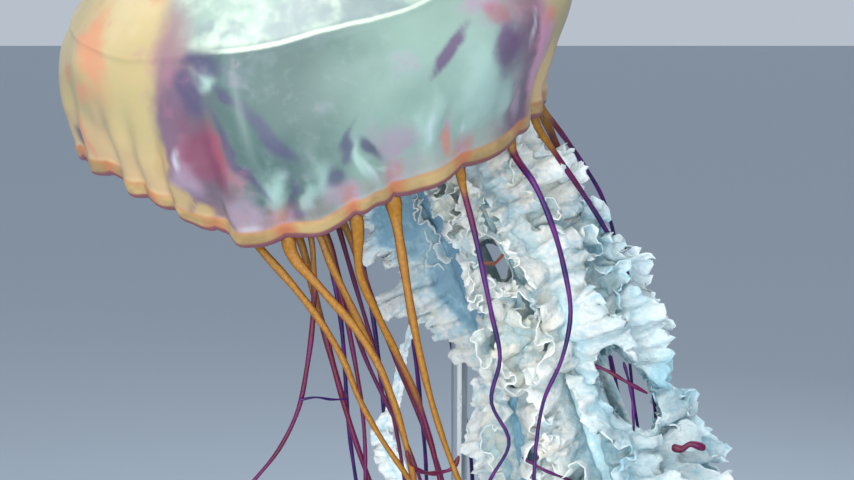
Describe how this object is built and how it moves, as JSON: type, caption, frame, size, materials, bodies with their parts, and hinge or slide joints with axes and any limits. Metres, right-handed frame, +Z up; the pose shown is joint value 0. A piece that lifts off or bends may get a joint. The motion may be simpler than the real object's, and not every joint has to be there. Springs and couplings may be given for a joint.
{
  "type": "sea nettle jellyfish",
  "caption": "Swimming sea nettle jellyfish: domed bell with lappets, frilled oral arms and long trailing tentacles, held on a plain display stand.",
  "frame": {"origin": "centre of the stand's flat underside", "axes": "+Z up through the stand; the viewer stands at -Y; the bell's crown leans to -X and towards -Y, and the arms trail down and towards +X"},
  "size_m": [0.4157, 0.3673, 0.9019],
  "materials": {
    "bell_jelly": "wet, translucent amber jelly, pale grey-green in the middle",
    "arm_frill": "wet, thin, pale blue-white frills",
    "tentacle": "wet, golden orange at the root, crimson and purple beyond",
    "stand_base": "satin black paint",
    "stand_rod": "brushed"
  },
  "bodies": {
    "root": {"bell": "bell_jelly", "mouth_stalk": "arm_frill", "oral_arm_1_upper": "arm_frill", "oral_arm_1_lower": "arm_frill", "oral_arm_2_upper": "arm_frill", "oral_arm_2_lower": "arm_frill", "oral_arm_3_upper": "arm_frill", "oral_arm_3_lower": "arm_frill", "oral_arm_4_upper": "arm_frill", "oral_arm_4_lower": "arm_frill", "tentacle_01_upper": "tentacle", "tentacle_01_lower": "tentacle", "tentacle_02_upper": "tentacle", "tentacle_02_lower": "tentacle", "tentacle_03_upper": "tentacle", "tentacle_03_lower": "tentacle", "tentacle_04_upper": "tentacle", "tentacle_04_lower": "tentacle", "tentacle_05_upper": "tentacle", "tentacle_05_lower": "tentacle", "tentacle_06_upper": "tentacle", "tentacle_06_lower": "tentacle", "tentacle_07_upper": "tentacle", "tentacle_07_lower": "tentacle", "tentacle_08_upper": "tentacle", "tentacle_08_lower": "tentacle", "tentacle_09_upper": "tentacle", "tentacle_09_lower": "tentacle", "tentacle_10_upper": "tentacle", "tentacle_10_lower": "tentacle", "tentacle_11_upper": "tentacle", "tentacle_11_lower": "tentacle", "tentacle_12_upper": "tentacle", "tentacle_12_lower": "tentacle", "tentacle_13_upper": "tentacle", "tentacle_13_lower": "tentacle", "tentacle_14_upper": "tentacle", "tentacle_14_lower": "tentacle", "tentacle_15_upper": "tentacle", "tentacle_15_lower": "tentacle", "tentacle_16_upper": "tentacle", "tentacle_16_lower": "tentacle", "tentacle_17_upper": "tentacle", "tentacle_17_lower": "tentacle", "tentacle_18_upper": "tentacle", "tentacle_18_lower": "tentacle", "tentacle_19_upper": "tentacle", "tentacle_19_lower": "tentacle", "tentacle_20_upper": "tentacle", "tentacle_20_lower": "tentacle", "tentacle_21_upper": "tentacle", "tentacle_21_lower": "tentacle", "tentacle_22_upper": "tentacle", "tentacle_22_lower": "tentacle", "tentacle_23_upper": "tentacle", "tentacle_23_lower": "tentacle", "tentacle_24_upper": "tentacle", "tentacle_24_lower": "tentacle", "stand_base": "stand_base", "stand_rod": "stand_rod"}
  },
  "joints": []
}
